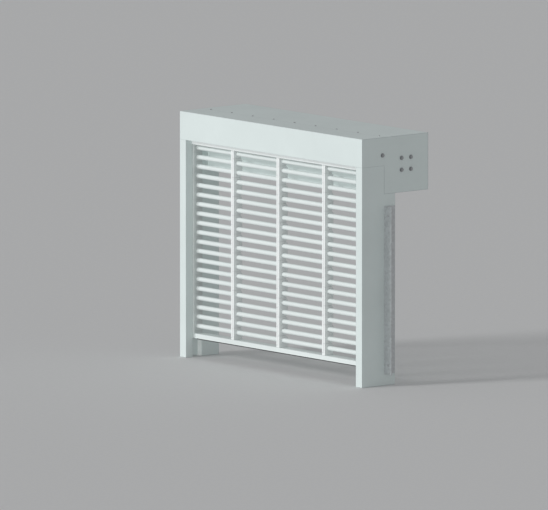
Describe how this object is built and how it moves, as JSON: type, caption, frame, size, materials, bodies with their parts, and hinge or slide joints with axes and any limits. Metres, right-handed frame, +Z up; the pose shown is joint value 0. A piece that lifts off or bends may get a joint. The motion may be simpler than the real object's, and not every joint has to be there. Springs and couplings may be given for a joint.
{
  "type": "rolling security grille",
  "caption": "Rolling security grille: guide jambs, header and rear coil hood with a motor barrel; a curtain of round rods in interleaved link chains slides in the guides.",
  "frame": {"origin": "bottom centre of the whole part, on the sill line under the jambs", "axes": "+X across the width, -Y towards the front face, +Z up"},
  "size_m": [1.644, 0.4572, 1.33],
  "materials": {
    "frame_paint": "satin powder coat",
    "curtain_paint": "satin powder coat",
    "rod_paint": "satin powder coat",
    "shoe_plastic": "moulded, matte",
    "guide_plastic": "extruded, matte",
    "seal_rubber": "matte",
    "galvanised_steel": "zinc coated",
    "bare_steel": "bright",
    "motor_case": "satin"
  },
  "bodies": {
    "frame": {"left_jamb": "frame_paint", "right_jamb": "frame_paint", "left_wear_strips": "guide_plastic", "right_wear_strips": "guide_plastic", "header_panel": "frame_paint", "head_rail": "curtain_paint", "hood_cover": "frame_paint", "left_end_plate": "frame_paint", "right_end_plate": "frame_paint", "left_wall_angle": "galvanised_steel", "right_wall_angle": "galvanised_steel", "tape_spans": "bare_steel", "motor_bracket": "galvanised_steel", "motor_head": "motor_case", "bearing_bracket": "galvanised_steel"},
    "curtain": {"rod_01": "rod_paint", "rod_02": "rod_paint", "rod_03": "rod_paint", "rod_04": "rod_paint", "rod_05": "rod_paint", "rod_06": "rod_paint", "rod_07": "rod_paint", "rod_08": "rod_paint", "rod_09": "rod_paint", "rod_10": "rod_paint", "rod_11": "rod_paint", "rod_12": "rod_paint", "rod_13": "rod_paint", "rod_14": "rod_paint", "rod_15": "rod_paint", "rod_16": "rod_paint", "rod_17": "rod_paint", "rod_18": "rod_paint", "rod_19": "rod_paint", "rod_20": "rod_paint", "rod_21": "rod_paint", "rod_22": "rod_paint", "left_link_chain": "curtain_paint", "middle_link_chain": "curtain_paint", "right_link_chain": "curtain_paint", "bottom_lugs": "curtain_paint", "tape_hangers": "curtain_paint", "left_end_shoes": "shoe_plastic", "right_end_shoes": "shoe_plastic", "bottom_bar": "curtain_paint", "bottom_bar_shoes": "shoe_plastic", "bottom_seal": "seal_rubber", "curtain_tapes": "bare_steel"},
    "barrel": {"barrel": "galvanised_steel"},
    "roller": {"guide_roller": "galvanised_steel"}
  },
  "joints": [
    {"name": "curtain_lift", "type": "slide", "parent": "frame", "child": "curtain", "axis": [0, 0, 1], "range_m": [-0.095, 0.0508]},
    {"name": "barrel_turn", "type": "hinge", "parent": "frame", "child": "barrel", "pos_m": [0, 0.0762, 1.1776], "axis": [1, 0, 0], "range_deg": [-59, 108]},
    {"name": "roller_turn", "type": "hinge", "parent": "frame", "child": "roller", "pos_m": [0, -0.08765, 1.23335], "axis": [1, 0, 0], "range_deg": [-97, 179]}
  ],
  "couplings": [
    {"joint": "barrel_turn", "follows": "curtain_lift", "rad_per_m": -19.342},
    {"joint": "roller_turn", "follows": "curtain_lift", "rad_per_m": -32.362}
  ]
}
